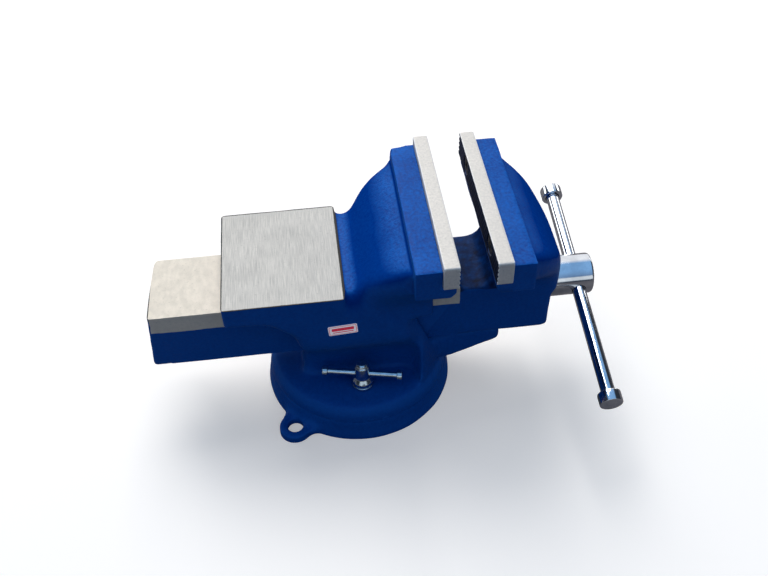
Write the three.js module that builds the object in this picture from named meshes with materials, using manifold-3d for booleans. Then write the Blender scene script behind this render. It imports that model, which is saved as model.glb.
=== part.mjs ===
// Swivel-base bench vise. Millimetres, +Z up, +X along the screw towards the handle.
// The origin is on the swivel axis, in the plane that the base rests on.
import * as THREE from 'three';
import { mergeVertices } from 'three/addons/utils/BufferGeometryUtils.js';
import Module from 'manifold-3d';

const wasm = await Module();
wasm.setup();

// ---------------------------------------------------------------- driving dimensions
const FIT = 0.3;                     // gap between parts that touch
const FINE = 40;                     // sides of a large round
const ROUND = 24;                    // sides of a small round

const JAW_WIDTH = 150;               // nominal size of the vise: width of the jaw plates
const PLATE_THICK = 11.4;
const PLATE_TOP = 178.8;
const PLATE_HEIGHT = 20;
const PLATE_BOTTOM = PLATE_TOP - PLATE_HEIGHT;
const SCREW_SPREAD = 45;             // jaw plate screws, each side of the middle

const FIXED_FACE = 67.5;             // gripping face of the fixed jaw plate
const JAW_OPENING = 25.4;            // gap between the plates at rest
const MOVING_FACE = FIXED_FACE + JAW_OPENING;

const BLOCK_HALF = 71.9;             // jaw blocks behind the plates
const BLOCK_TOP = 173.4;
const BLOCK_BOTTOM = 147.5;
const FIXED_BLOCK_THICK = 18.5;
const MOVING_BLOCK_THICK = 16.6;
const LEDGE_TOP = PLATE_BOTTOM - 0.4;
const FIXED_BLOCK_FRONT = FIXED_FACE - PLATE_THICK;
const MOVING_BLOCK_FRONT = MOVING_FACE + PLATE_THICK;

const SLIDE_HALF = 31;               // slide of the moving jaw, an open-bottomed box section
const SLIDE_BOTTOM = 62.3;
const SLIDE_TOP = 114.1;
const SLIDE_PAINTED_TOP = 111.3;
const SLIDE_TAIL = -153.9;           // its end leans out by TAIL_LEAN towards the bottom
const TAIL_LEAN = 4.8;
const SLIDE_FRONT = 148.9;
const SLIDE_FRONT_WALL = 21;
const SLIDE_CAVITY_HALF = 16.5;
const SLIDE_CAVITY_TOP = 104;
const NOSE_BOTTOM = 99.5;            // where the moving jaw overhangs the end of the slide
const MACHINED_END = 77;             // where the ground top of the slide stops

const BASE_RADIUS = 75.6;
const BASE_HEIGHT = 18;
const PIVOT_RADIUS = 14;
const PIVOT_TOP = 25.5;
const BOLT_CIRCLE = 44.5;            // radius of the ring slot for the lock bolts
const LUG_RADIUS = 82;               // bench bolt holes, from the swivel axis
const LUG_ANGLE = THREE.MathUtils.degToRad(226.3);
const LUG_NOSE = 12.8;
const LUG_HOLE = 6.3;
const LUG_THICK = 7;

const BODY_BOTTOM = BASE_HEIGHT + FIT;
const FLANGE_TOP = 32;               // round flange that the lock bolts hold down
const COLUMN_REAR = -44.5;
const WALL_HALF = 51.7;              // flat sides of the column, flush with the anvil's
const RECESS_BACK = 29;              // recesses in those sides, for the lock bolts
const RECESS_FRONT = 45;
const RECESS_TOP = 86;
const CHANNEL_CLEAR = 0.5;           // slide to body

const ANVIL_REAR = -97.2;
const ANVIL_FRONT = -9.5;
const ANVIL_TOP = 135.7;
const ANVIL_THICK = 17.8;
const TONGUE_TIP = 111.6;
const TONGUE_HALF = 28.3;

const SPINDLE_Z = 86;
const SPINDLE_RADIUS = 11.5;
const SPINDLE_TIP = -135;
const HEAD_RADIUS = 16;
const HEAD_END = 188.5;
const WASHER_THICK = 2;
const COLLAR_THICK = 8;
const COLLAR_PIN_RADIUS = 2.5;

const BAR_X = 176.1;                 // tommy bar
const BAR_RADIUS = 5.25;
const BAR_HALF = 102.2;
const BAR_TILT = THREE.MathUtils.degToRad(10.9);
const BAR_OFFSET = -14.4;
const KNOB_RADIUS = 8.7;
const KNOB_LENGTH = 9.4;

const STUD_RADIUS = 4.5;             // lock bolts
const STUD_TOP = 40.5;
const LOCK_NUT_RADIUS = 5.8;
const LOCK_FOOT_RADIUS = 8.2;
const LOCK_NUT_TOP = 53.4;
const LOCK_WASHER_RADIUS = 8.7;
const LOCK_BAR_Z = 44.7;
const LOCK_BAR_RADIUS = 2.6;
const LOCK_BAR_HALF = 31.8;
const LOCK_BAR_ANGLE = THREE.MathUtils.degToRad(-12.2);
const LOCK_CAP_RADIUS = 4.2;
const LOCK_CAP_LENGTH = 4.6;

// ---------------------------------------------------------------- solids from three.js shapes
const AXES = {
  x: [[0, 1, 0], [0, 0, 1], [1, 0, 0]],   // outline in Y, Z
  y: [[1, 0, 0], [0, 0, 1], [0, -1, 0]],  // outline in X, Z
  z: [[1, 0, 0], [0, 1, 0], [0, 0, 1]],   // outline in X, Y
};

function basis(axis) {
  const [a, b, c] = AXES[axis].map((v) => new THREE.Vector3(...v));
  return new THREE.Matrix4().makeBasis(a, b, c);
}

function toSolid(geometry) {
  geometry.deleteAttribute('normal');
  geometry.deleteAttribute('uv');
  const merged = mergeVertices(geometry, 1e-5);
  const mesh = new wasm.Mesh({
    numProp: 3,
    vertProperties: new Float32Array(merged.attributes.position.array),
    triVerts: new Uint32Array(merged.index.array),
  });
  return new wasm.Manifold(mesh);
}

// A flat outline, pushed along an axis from low to high.
function prism(axis, shape, low, high, curveSegments = 8) {
  const depth = high - low;
  const geometry = new THREE.ExtrudeGeometry(shape, { depth, bevelEnabled: false, curveSegments });
  geometry.applyMatrix4(basis(axis));
  const start = new THREE.Vector3(...AXES[axis][2]).multiplyScalar(axis === 'y' ? -high : low);
  geometry.translate(start.x, start.y, start.z);
  return toSolid(geometry);
}

function box(x0, x1, y0, y1, z0, z1) {
  const geometry = new THREE.BoxGeometry(x1 - x0, y1 - y0, z1 - z0);
  geometry.translate((x0 + x1) / 2, (y0 + y1) / 2, (z0 + z1) / 2);
  return toSolid(geometry);
}

// A solid of revolution about an axis through centre. The profile is a list of (radius, place).
function turned(axis, centre, profile, sides = ROUND) {
  const points = profile.map(([r, h]) => new THREE.Vector2(r, h));
  const geometry = new THREE.LatheGeometry(points, sides);
  if (axis === 'x') geometry.rotateZ(-Math.PI / 2);
  if (axis === 'z') geometry.rotateX(Math.PI / 2);
  geometry.translate(...centre);
  return toSolid(geometry);
}

function cylinder(axis, centre, radius, low, high, sides = ROUND) {
  return turned(axis, centre, [[0, low], [radius, low], [radius, high], [0, high]], sides);
}

function outline(points) {
  return new THREE.Shape(points.map(([a, b]) => new THREE.Vector2(a, b)));
}

// The same half outline on both sides of the middle plane.
function mirrored(points) {
  return outline([...points, ...points.map(([a, b]) => [-a, b]).reverse()]);
}

// A plan outline (x, half width), closed by its mirror image.
function mirroredPlan(points) {
  return outline([...points.map(([x, w]) => [x, -w]), ...points.map(([x, w]) => [x, w]).reverse()]);
}

// Points of a smooth curve through the given ones.
function smooth(points, steps) {
  const curve = new THREE.SplineCurve(points.map(([a, b]) => new THREE.Vector2(a, b)));
  return curve.getPoints(steps).map((p) => [p.x, p.y]);
}

function arc(a, b, radius, start, end, steps) {
  const points = [];
  for (let i = 0; i <= steps; i += 1) {
    const angle = THREE.MathUtils.degToRad(start + ((end - start) * i) / steps);
    points.push([a + radius * Math.cos(angle), b + radius * Math.sin(angle)]);
  }
  return points;
}

function union(...solids) {
  return solids.reduce((sum, next) => sum.add(next));
}

function cut(solid, ...tools) {
  return tools.reduce((rest, tool) => rest.subtract(tool), solid);
}

const vise = new THREE.Group();

function addPart(name, solid, material, place = new THREE.Matrix4()) {
  const { vertProperties, triVerts } = solid.getMesh();
  const geometry = new THREE.BufferGeometry();
  geometry.setAttribute('position', new THREE.BufferAttribute(new Float32Array(vertProperties), 3));
  geometry.setIndex(new THREE.BufferAttribute(new Uint32Array(triVerts), 1));
  geometry.computeVertexNormals();
  const mesh = new THREE.Mesh(geometry, material);
  mesh.name = name;
  place.decompose(mesh.position, mesh.quaternion, mesh.scale);
  vise.add(mesh);
}

function paint(color, roughness, metalness) {
  return new THREE.MeshStandardMaterial({ color, roughness, metalness });
}

const blueEnamel = () => paint(0x0b4a9c, 0.5, 0.1);
const groundSteel = () => paint(0xb9b6ae, 0.4, 0.9);
const chrome = () => paint(0xd4d7dc, 0.12, 1.0);
const zincSteel = () => paint(0xa9b3b8, 0.3, 0.95);
const darkSteel = () => paint(0x4b4d50, 0.45, 0.9);
const labelFilm = () => paint(0xf1e9e4, 0.45, 0.0);

// ---------------------------------------------------------------- swivel base
function lug(angle) {
  const root = BASE_RADIUS - 9;
  const side = smooth([[root, -21], [BASE_RADIUS, -16.5], [LUG_RADIUS - 1, -LUG_NOSE]], 8);
  const nose = arc(LUG_RADIUS, 0, LUG_NOSE, -84, 84, 12);
  const shape = outline([...side, ...nose, ...side.map(([u, v]) => [u, -v]).reverse()]);
  const ear = prism('z', shape, 0, LUG_THICK);
  const hole = cylinder('z', [LUG_RADIUS, 0, 0], LUG_HOLE, -1, LUG_THICK + 1);
  return cut(ear, hole).rotate([0, 0, THREE.MathUtils.radToDeg(angle)]);
}

function ringSlot() {
  const neck = 5.8;
  const head = 10.5;
  const floor = 6;
  const step = 12.4;
  return turned('z', [0, 0, 0], [
    [BOLT_CIRCLE - head, floor], [BOLT_CIRCLE + head, floor],
    [BOLT_CIRCLE + head, step], [BOLT_CIRCLE + neck, step],
    [BOLT_CIRCLE + neck, BASE_HEIGHT + 1], [BOLT_CIRCLE - neck, BASE_HEIGHT + 1],
    [BOLT_CIRCLE - neck, step], [BOLT_CIRCLE - head, step],
    [BOLT_CIRCLE - head, floor],
  ], FINE);
}

function swivelBase() {
  const disc = turned('z', [0, 0, 0], [
    [0, 0], [BASE_RADIUS, 0], [BASE_RADIUS - 0.2, 3], [BASE_RADIUS - 1.6, 9],
    [BASE_RADIUS - 2.6, BASE_HEIGHT - 1], [BASE_RADIUS - 3.4, BASE_HEIGHT],
    [PIVOT_RADIUS, BASE_HEIGHT],
    [PIVOT_RADIUS, PIVOT_TOP - 1.5], [PIVOT_RADIUS - 1.5, PIVOT_TOP], [0, PIVOT_TOP],
  ], 64);
  const relief = turned('z', [0, 0, 0], [
    [18, -1], [60, -1], [60, 2.5], [18, 2.5], [18, -1],
  ], FINE);
  const boltEntry = cylinder('z', [BOLT_CIRCLE, 0, 0], 10.8, 6, BASE_HEIGHT + 1);
  const whole = union(disc, lug(LUG_ANGLE), lug(LUG_ANGLE + Math.PI));
  return cut(whole, relief, ringSlot(), boltEntry);
}

// ---------------------------------------------------------------- jaw shoulders and blocks
// Block behind a jaw plate, with the ledge below the plate. side is +1 when the block's
// front looks along +X, -1 when it looks along -X.
function jawBlock(front, side, thick) {
  const xs = (depth) => front - side * depth;
  const ledge = 10.2;
  const shape = outline([
    [xs(0), BLOCK_TOP], [xs(thick), BLOCK_TOP], [xs(thick), BLOCK_BOTTOM],
    [xs(-ledge + 4), BLOCK_BOTTOM], [xs(-ledge), BLOCK_BOTTOM + 4],
    [xs(-ledge), LEDGE_TOP], [xs(0), LEDGE_TOP],
  ]);
  return prism('y', shape, -BLOCK_HALF, BLOCK_HALF);
}

// Tapped holes for the plate's screws, from the front of its block.
function screwHoles(front, side) {
  const deep = front - side * 16;
  const clear = front + side;
  const span = [Math.min(deep, clear), Math.max(deep, clear)];
  const z = (PLATE_TOP + PLATE_BOTTOM) / 2;
  return [-SCREW_SPREAD, SCREW_SPREAD].map((y) => cylinder('x', [0, y, z], 4.4, ...span));
}

function fixedShoulder() {
  const crown = smooth(
    [[-10, 134.2], [-3, 134.2], [2, 138.8], [10, 148.8], [20, 158.2], [30, 163.8], [38, 166.2]], 20,
  );
  const back = FIXED_BLOCK_FRONT;
  const side = prism('y', outline([[-10, 100], ...crown, [back, 166.2], [back, 100]]), -80, 80);
  const plan = mirroredPlan([
    ...smooth([[-10, 44], [-3, 44], [4, 47.6], [11, 54.8], [19, 58.6], [27, 62], [38, 64.5]], 14),
    [back, 64.5],
  ]);
  const above = prism('z', plan, 100, 170);
  const section = prism('x', mirrored([
    [46, 100], [46, 119], [52, 127], [56.5, 137], [64.5, 147], [64.5, 170],
  ]), -20, back + 1);
  return side.intersect(above).intersect(section);
}

function movingShoulder() {
  const front = MOVING_BLOCK_FRONT;
  const nose = 159.5;
  const crown = smooth([
    [112, 166.6], [121, 165.8], [130, 160.8], [140, 152], [150, 138.6], [155, 128.6],
    [158.4, 117], [nose, 105.6],
  ], 20);
  const side = prism('y', outline([
    [front, 166.6], ...crown, [nose, NOSE_BOTTOM],
    [SLIDE_FRONT - 2, NOSE_BOTTOM], [SLIDE_FRONT - 2, 110], [front, 110],
  ]), -80, 80);
  const plan = prism('z', outline([
    [front, -66], ...arc(91.2, 0, 68, -73, 73, 30), [front, 66],
  ]), 90, 170);
  const section = prism('x', mirrored([
    [SLIDE_HALF, 90], [SLIDE_HALF, 116], [SLIDE_HALF + 6, 124], [48, 134], [62.5, 145], [62.5, 170],
  ]), 90, 170);
  return side.intersect(plan).intersect(section);
}

// ---------------------------------------------------------------- vise body
// Rows up the column: height, radius of its round front, and the place and half width where
// the flat sides end.
const COLUMN = [
  [30, 68.6, 45, WALL_HALF], [40, 67.5, 45, WALL_HALF], [55, 67, 44.6, WALL_HALF],
  [66, 65.2, 43.2, WALL_HALF], [76, 62.5, 40.5, WALL_HALF], [90, 57.5, 35.5, WALL_HALF],
  [102, 53, 29.5, WALL_HALF], [114, 48, 23.2, WALL_HALF], [121, 46, 20, 51],
  [128, 44.5, 17, 48.5], [133, 44, 13, 45],
];

function columnLevel([z, radius, end, half]) {
  const round = arc(0, 0, radius, -87, 87, 20).filter(([x, y]) => x > end && Math.abs(y) < half);
  const flat = [[end, -half], [end, half], [COLUMN_REAR, half], [COLUMN_REAR, -half]];
  return [...round, ...flat].map(([x, y]) => [x, y, z]);
}

function column() {
  const levels = COLUMN.map(columnLevel);
  const steps = levels.slice(1).map((upper, i) => wasm.Manifold.hull([...levels[i], ...upper]));
  return union(...steps);
}

function flange() {
  return turned('z', [0, 0, 0], [
    [0, BODY_BOTTOM], [72.7, BODY_BOTTOM], [72, 24], [70.5, 28], [68.3, 30.8],
    [64.8, FLANGE_TOP], [0, FLANGE_TOP],
  ], 64);
}

// Wall under the anvil. Its rear edge sweeps down to the back of the column.
function rearWall() {
  const sweep = smooth([
    [-80, 117], [-71, 116.4], [-64.2, 114], [-58.9, 110.2], [-53.4, 103.6], [-50.4, 98.5],
    [-48.2, 91], [-46.6, 82], [-45.2, 72], [COLUMN_REAR, 64],
  ], 20);
  const shape = outline([
    [ANVIL_REAR, 121], [ANVIL_REAR, ANVIL_TOP - ANVIL_THICK], ...sweep, [COLUMN_REAR, 30],
    [0, 30], [0, 121],
  ]);
  return prism('y', shape, -WALL_HALF, WALL_HALF);
}

function anvil() {
  const corner = 2;
  const shape = outline([
    ...arc(ANVIL_REAR + corner, -WALL_HALF + corner, corner, 180, 270, 3),
    ...arc(ANVIL_FRONT - corner, -WALL_HALF + corner, corner, 270, 360, 3),
    ...arc(ANVIL_FRONT - corner, WALL_HALF - corner, corner, 0, 90, 3),
    ...arc(ANVIL_REAR + corner, WALL_HALF - corner, corner, 90, 180, 3),
  ]);
  return prism('z', shape, ANVIL_TOP - ANVIL_THICK, ANVIL_TOP);
}

function tongue() {
  const top = SLIDE_BOTTOM - 0.8;
  const shape = outline([
    [40, top], [TONGUE_TIP - 1.5, top], [TONGUE_TIP, top - 1.5], [TONGUE_TIP, 51.8],
    [TONGUE_TIP - 3, 48.6], [72.5, 33.8], [40, 28.6],
  ]);
  return prism('y', shape, -TONGUE_HALF, TONGUE_HALF);
}

// Scooped recess for one lock bolt, open towards the rear. side is -1 near, +1 far.
function lockRecess(side) {
  const back = smooth([
    [RECESS_BACK, 38], [29.4, 47], [31.5, 56], [37, 66], [45, 76], [WALL_HALF + 1, RECESS_TOP],
  ], 12);
  const section = outline([
    [side * RECESS_BACK, 0], ...back.map(([y, z]) => [side * y, z]),
    [side * 90, RECESS_TOP], [side * 90, 0],
  ]);
  const corner = 12;
  const plan = outline([
    [-90, side * 90], [-90, side * RECESS_BACK],
    ...arc(RECESS_FRONT - corner, side * (RECESS_BACK + corner), corner, side * 270, side * 360, 6),
    [RECESS_FRONT, side * 90],
  ]);
  return prism('x', section, -90, RECESS_FRONT).intersect(prism('z', plan, 0, 100));
}

function viseBody() {
  const scooped = cut(union(column(), rearWall()), lockRecess(-1), lockRecess(1));
  const whole = union(
    flange(), scooped, tongue(), anvil(), fixedShoulder(),
    jawBlock(FIXED_BLOCK_FRONT, 1, FIXED_BLOCK_THICK),
  );
  const half = SLIDE_HALF + CHANNEL_CLEAR;
  const low = SLIDE_BOTTOM - CHANNEL_CLEAR;
  const channel = box(-200, 200, -half, half, low, SLIDE_TOP + CHANNEL_CLEAR);
  const pivotBore = cylinder('z', [0, 0, 0], PIVOT_RADIUS + 0.4, 0, PIVOT_TOP + 1);
  const headRoom = cylinder('z', [0, 0, 0], 10.8, 20, 36);
  const boltHole = cylinder('z', [0, 0, 0], 6.2, 20, 70);
  const studHoles = [-1, 1].map(
    (side) => cylinder('z', [0, side * BOLT_CIRCLE, 0], STUD_RADIUS + 0.8, 10, 40),
  );
  const screws = screwHoles(FIXED_BLOCK_FRONT, 1);
  return cut(whole, channel, pivotBore, headRoom, boltHole, ...studHoles, ...screws);
}

// ---------------------------------------------------------------- moving jaw
// Side view of the slide: the tail leans out, the front corners are rounded.
function slideSide() {
  const corner = 4;
  return outline([
    [SLIDE_TAIL, SLIDE_TOP], [SLIDE_TAIL - TAIL_LEAN + 0.3, SLIDE_BOTTOM + 2],
    [SLIDE_TAIL - TAIL_LEAN + 2, SLIDE_BOTTOM],
    ...arc(SLIDE_FRONT - corner, SLIDE_BOTTOM + corner, corner, 270, 360, 5),
    [SLIDE_FRONT, SLIDE_PAINTED_TOP], [MACHINED_END, SLIDE_PAINTED_TOP], [MACHINED_END, SLIDE_TOP],
  ]);
}

// Everything ahead of the tail's end, which draws in towards the far side and leans.
function aheadOfTail() {
  const half = SLIDE_HALF + 1;
  const drawnIn = smooth([[4.4, half], [2.2, 26], [1.2, 12], [0.4, -8], [0, -half]], 12);
  const low = SLIDE_TAIL - TAIL_LEAN;
  const plan = outline([...drawnIn.map(([x, y]) => [low + x, y]), [200, -half], [200, half]]);
  const shear = TAIL_LEAN / (SLIDE_TOP - SLIDE_BOTTOM);
  return prism('z', plan, 0, 200).warp((v) => {
    v[0] += shear * (v[2] - SLIDE_BOTTOM);
  });
}

function slideBar() {
  const edge = 1;
  const outer = mirrored([
    [SLIDE_HALF - edge, SLIDE_BOTTOM], [SLIDE_HALF, SLIDE_BOTTOM + edge],
    [SLIDE_HALF, SLIDE_TOP - edge], [SLIDE_HALF - edge, SLIDE_TOP],
  ]);
  const cavity = mirrored([
    [SLIDE_CAVITY_HALF, SLIDE_BOTTOM - 5],
    ...arc(SLIDE_CAVITY_HALF - 6, SLIDE_CAVITY_TOP - 6, 6, 0, 90, 4),
  ]);
  const bar = prism('x', outer, -200, 200).intersect(prism('y', slideSide(), -40, 40));
  const hollow = prism('x', cavity, -200, SLIDE_FRONT - SLIDE_FRONT_WALL);
  return cut(bar.intersect(aheadOfTail()), hollow);
}

// Concave fillet from the painted slide top up to the front of the moving jaw.
function gapFillet() {
  const radius = 13;
  const front = MOVING_BLOCK_FRONT;
  const curve = arc(front - radius, SLIDE_PAINTED_TOP + radius, radius, -90, 0, 7);
  const shape = outline([
    ...curve, [front + 2, SLIDE_PAINTED_TOP + radius], [front + 2, 105], [front - radius, 105],
  ]);
  return prism('y', shape, -SLIDE_HALF, SLIDE_HALF);
}

function movingJaw() {
  const block = jawBlock(MOVING_BLOCK_FRONT, -1, MOVING_BLOCK_THICK);
  const whole = union(slideBar(), gapFillet(), movingShoulder(), block);
  const bore = cylinder('x', [0, 0, SPINDLE_Z], SPINDLE_RADIUS + 0.7, 120, 200);
  const headRoom = cylinder('x', [0, 0, SPINDLE_Z], HEAD_RADIUS + 0.8, SLIDE_FRONT, 200, FINE);
  return cut(whole, bore, headRoom, ...screwHoles(MOVING_BLOCK_FRONT, -1));
}

// ---------------------------------------------------------------- jaw plates and their screws
function jawPlate(face, side) {
  const back = face - side * (PLATE_THICK - FIT);
  const middle = (PLATE_TOP + PLATE_BOTTOM) / 2;
  const [low, high] = [Math.min(face, back), Math.max(face, back)];
  let plate = box(low, high, -JAW_WIDTH / 2, JAW_WIDTH / 2, PLATE_BOTTOM, PLATE_TOP);
  for (const y of [-SCREW_SPREAD, SCREW_SPREAD]) {
    const place = [face, y, middle];
    const sink = cylinder('x', place, 7.3, side > 0 ? -5.2 : -1, side > 0 ? 1 : 5.2);
    plate = cut(plate, sink, cylinder('x', place, 4.6, -20, 20));
  }
  return plate;
}

// Socket head screw along X, its head towards side.
function plateScrew(face, side, y) {
  const middle = (PLATE_TOP + PLATE_BOTTOM) / 2;
  const at = (depth) => -side * depth;
  const span = (a, b) => [Math.min(at(a), at(b)), Math.max(at(a), at(b))];
  const place = [face, y, middle];
  const head = cylinder('x', place, 6.8, ...span(0.6, 4.9));
  const shank = cylinder('x', place, 4, ...span(4.5, 25));
  const socket = cylinder('x', place, 3.2, ...span(-1, 3.4), 6);
  return cut(union(head, shank), socket);
}

// ---------------------------------------------------------------- screw, nut and tommy bar
function spindleNut() {
  const shape = mirrored([[15, SLIDE_BOTTOM - FIT], [15, 95], [10, 101]]);
  const block = prism('x', shape, -25, 25);
  const bore = cylinder('x', [0, 0, SPINDLE_Z], SPINDLE_RADIUS + 0.4, -30, 30);
  const tapped = cylinder('z', [0, 0, 0], 5.4, 50, 72.6);
  return cut(block, bore, tapped);
}

function nutBolt() {
  const head = cylinder('z', [0, 0, 0], 9.6, 27, 35.7, 6);
  return union(head, cylinder('z', [0, 0, 0], 5, 35, 72));
}

function spindle() {
  const head = SLIDE_FRONT + WASHER_THICK + 2 * FIT;
  const body = turned('x', [0, 0, SPINDLE_Z], [
    [0, SPINDLE_TIP], [SPINDLE_RADIUS - 2.5, SPINDLE_TIP], [SPINDLE_RADIUS, SPINDLE_TIP + 2.5],
    [SPINDLE_RADIUS, head], [HEAD_RADIUS - 0.6, head], [HEAD_RADIUS, head + 0.6],
    ...arc(HEAD_END - 3.5, HEAD_RADIUS - 3.5, 3.5, 90, 0, 4).map(([x, r]) => [r, x]),
    [0, HEAD_END],
  ], FINE);
  const cross = cylinder('y', [BAR_X, 0, 0], BAR_RADIUS + 0.4, -40, 40);
  const tilt = THREE.MathUtils.radToDeg(BAR_TILT);
  const tilted = cross.rotate([tilt, 0, 0]).translate([0, 0, SPINDLE_Z]);
  const pinX = SLIDE_FRONT - SLIDE_FRONT_WALL - FIT - COLLAR_THICK / 2;
  const pinHole = cylinder('z', [pinX, 0, 0], COLLAR_PIN_RADIUS + 0.3, 60, 120);
  return cut(body, tilted, pinHole);
}

function spindleCollar() {
  const high = SLIDE_FRONT - SLIDE_FRONT_WALL - FIT;
  const low = high - COLLAR_THICK;
  const ring = cylinder('x', [0, 0, SPINDLE_Z], 15.8, low, high);
  const bore = cylinder('x', [0, 0, SPINDLE_Z], SPINDLE_RADIUS + 0.3, low - 1, high + 1);
  const pinHole = cylinder('z', [(low + high) / 2, 0, 0], COLLAR_PIN_RADIUS + 0.3, 60, 120);
  return cut(ring, bore, pinHole);
}

function collarPin() {
  const x = SLIDE_FRONT - SLIDE_FRONT_WALL - FIT - COLLAR_THICK / 2;
  return cylinder('z', [x, 0, SPINDLE_Z], COLLAR_PIN_RADIUS, -15, 15);
}

function thrustWasher() {
  const low = SLIDE_FRONT + FIT;
  const ring = cylinder('x', [0, 0, SPINDLE_Z], 15.6, low, low + WASHER_THICK);
  return cut(ring, cylinder('x', [0, 0, SPINDLE_Z], SPINDLE_RADIUS + 0.5, low - 1, low + 5));
}

// The tommy bar and its knobs are made along Y and then tilted about the screw's axis.
function tommyBar() {
  const end = BAR_HALF - 5;
  return cylinder('y', [0, 0, 0], BAR_RADIUS, -end, end);
}

function tommyKnob(side) {
  const inner = BAR_HALF - KNOB_LENGTH;
  const edge = 1;
  const knob = turned('y', [0, 0, 0], [
    [0, inner], [KNOB_RADIUS - edge, inner], [KNOB_RADIUS, inner + edge],
    [KNOB_RADIUS, BAR_HALF - edge], [KNOB_RADIUS - edge, BAR_HALF], [0, BAR_HALF],
  ]);
  const socket = cylinder('y', [0, 0, 0], BAR_RADIUS + FIT, inner - 1, BAR_HALF - 5 + FIT);
  const whole = cut(knob, socket);
  return side > 0 ? whole : whole.rotate([180, 0, 0]);
}

// ---------------------------------------------------------------- lock bolts
function tBolt(side) {
  const head = box(-8, 8, BOLT_CIRCLE - 9, BOLT_CIRCLE + 9, 6.3, 12.1);
  const bolt = union(head, cylinder('z', [0, BOLT_CIRCLE, 0], STUD_RADIUS, 12, STUD_TOP));
  return side > 0 ? bolt : bolt.rotate([0, 0, 180]);
}

function lockWasher() {
  const low = FLANGE_TOP + FIT;
  const disc = cylinder('z', [0, 0, 0], LOCK_WASHER_RADIUS, low, low + 2);
  return cut(disc, cylinder('z', [0, 0, 0], STUD_RADIUS + 0.5, low - 1, low + 3));
}

function lockNut() {
  const low = FLANGE_TOP + 2 + 2 * FIT;
  const body = turned('z', [0, 0, 0], [
    [0, low], [LOCK_FOOT_RADIUS, low], [LOCK_FOOT_RADIUS, low + 3.2],
    [LOCK_NUT_RADIUS, low + 6.6], [LOCK_NUT_RADIUS, LOCK_NUT_TOP],
    [4.7, LOCK_NUT_TOP + 1], [4.6, LOCK_NUT_TOP + 2],
    [3.4, LOCK_NUT_TOP + 3.5], [0, LOCK_NUT_TOP + 3.5],
  ]);
  const bore = cylinder('z', [0, 0, 0], STUD_RADIUS + 0.3, low - 1, STUD_TOP + 0.4);
  const cross = cylinder('x', [0, 0, LOCK_BAR_Z], LOCK_BAR_RADIUS + 0.3, -20, 20);
  return cut(body, bore, cross);
}

function lockBar() {
  const end = LOCK_BAR_HALF - 1.5;
  return cylinder('x', [0, 0, LOCK_BAR_Z], LOCK_BAR_RADIUS, -end, end, 16);
}

function lockCap(side) {
  const inner = LOCK_BAR_HALF - LOCK_CAP_LENGTH;
  const ends = (a, b) => (side > 0 ? [a, b] : [-b, -a]);
  const cap = cylinder('x', [0, 0, LOCK_BAR_Z], LOCK_CAP_RADIUS, ...ends(inner, LOCK_BAR_HALF));
  const socket = ends(inner - 1, LOCK_BAR_HALF - 1.5 + FIT);
  return cut(cap, cylinder('x', [0, 0, LOCK_BAR_Z], LOCK_BAR_RADIUS + FIT, ...socket, 16));
}

// ---------------------------------------------------------------- assembly
addPart('swivel_base', swivelBase(), blueEnamel());
addPart('vise_body', viseBody(), blueEnamel());
addPart('fixed_jaw_plate', jawPlate(FIXED_FACE, 1), groundSteel());
addPart('moving_jaw', movingJaw(), blueEnamel());
addPart('moving_jaw_plate', jawPlate(MOVING_FACE, -1), groundSteel());
for (const [where, y] of [['near', -SCREW_SPREAD], ['far', SCREW_SPREAD]]) {
  addPart(`fixed_plate_screw_${where}`, plateScrew(FIXED_FACE, 1, y), darkSteel());
  addPart(`moving_plate_screw_${where}`, plateScrew(MOVING_FACE, -1, y), darkSteel());
}

addPart('spindle_nut', spindleNut(), darkSteel());
addPart('nut_bolt', nutBolt(), darkSteel());
addPart('spindle', spindle(), chrome());
addPart('spindle_collar', spindleCollar(), darkSteel());
addPart('collar_pin', collarPin(), darkSteel());
addPart('thrust_washer', thrustWasher(), zincSteel());

const barPlace = new THREE.Matrix4()
  .makeTranslation(BAR_X, 0, SPINDLE_Z)
  .multiply(new THREE.Matrix4().makeRotationX(BAR_TILT))
  .multiply(new THREE.Matrix4().makeTranslation(0, BAR_OFFSET, 0));
addPart('tommy_bar', tommyBar(), chrome(), barPlace);
addPart('tommy_knob_near', tommyKnob(-1), chrome(), barPlace);
addPart('tommy_knob_far', tommyKnob(1), chrome(), barPlace);

for (const [where, side] of [['near', -1], ['far', 1]]) {
  const onStud = new THREE.Matrix4().makeTranslation(0, side * BOLT_CIRCLE, 0);
  const turnedBar = onStud.clone().multiply(new THREE.Matrix4().makeRotationZ(LOCK_BAR_ANGLE));
  addPart(`t_bolt_${where}`, tBolt(side), zincSteel());
  addPart(`lock_washer_${where}`, lockWasher(), zincSteel(), onStud);
  addPart(`lock_nut_${where}`, lockNut(), zincSteel(), turnedBar);
  addPart(`lock_bar_${where}`, lockBar(), zincSteel(), turnedBar);
  addPart(`lock_cap_${where}_left`, lockCap(-1), zincSteel(), turnedBar);
  addPart(`lock_cap_${where}_right`, lockCap(1), zincSteel(), turnedBar);
}

const labelPlace = new THREE.Matrix4()
  .makeTranslation(-12.6, -WALL_HALF - FIT - 0.3, 105)
  .multiply(new THREE.Matrix4().makeRotationY(THREE.MathUtils.degToRad(-4)));
addPart('side_label', box(-10.8, 10.8, -0.3, 0.3, -4.8, 4.8), labelFilm(), labelPlace);

export default vise;
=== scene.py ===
import math

import bpy
import bmesh
import numpy as np
from mathutils import Matrix, Vector


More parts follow.
